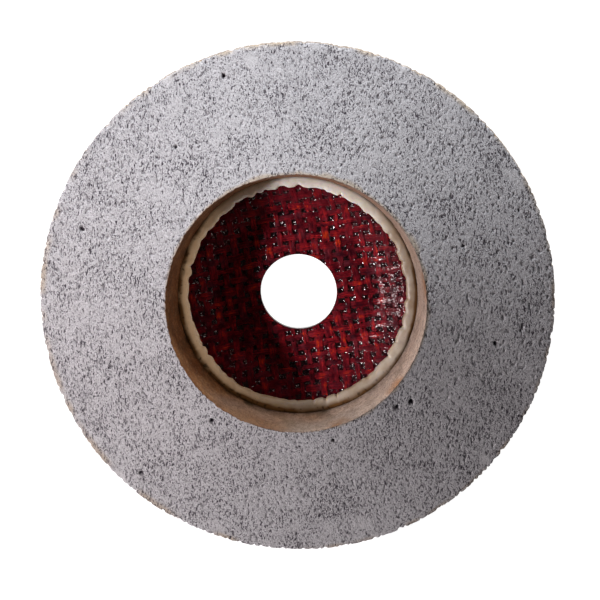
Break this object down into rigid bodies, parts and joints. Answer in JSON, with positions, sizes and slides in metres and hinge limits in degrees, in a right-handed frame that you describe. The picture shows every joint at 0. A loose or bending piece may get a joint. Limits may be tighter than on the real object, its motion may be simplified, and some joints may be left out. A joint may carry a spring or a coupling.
{
  "type": "angle grinder disc",
  "caption": "Depressed-centre conical abrasive disc: a grey porous ring bonded to a red glass-mesh backing plate with a plain arbor hole, for shaping wood on an angle grinder.",
  "frame": {"origin": "centre of the arbor hole, in the plane of the hub's back face", "axes": "+Z along the arbor hole's axis, out of the working face towards the workpiece; +X and +Y lie in the plane of the disc"},
  "size_m": [0.15, 0.15, 0.0224],
  "materials": {
    "abrasive": "matt, finely porous",
    "adhesive": "satin",
    "glass_mesh_laminate": "resin gloss over woven mesh",
    "steel": "pressed sheet",
    "label_paper": "uncoated"
  },
  "bodies": {
    "root": {"abrasive_ring": "abrasive", "adhesive_film": "adhesive", "inner_adhesive_bead": "adhesive", "outer_adhesive_bead": "adhesive", "front_mesh_ply": "glass_mesh_laminate", "second_mesh_ply": "glass_mesh_laminate", "third_mesh_ply": "glass_mesh_laminate", "back_mesh_ply": "glass_mesh_laminate", "hub_mesh_ply": "glass_mesh_laminate", "centre_ring": "steel", "back_label": "label_paper"}
  },
  "joints": []
}
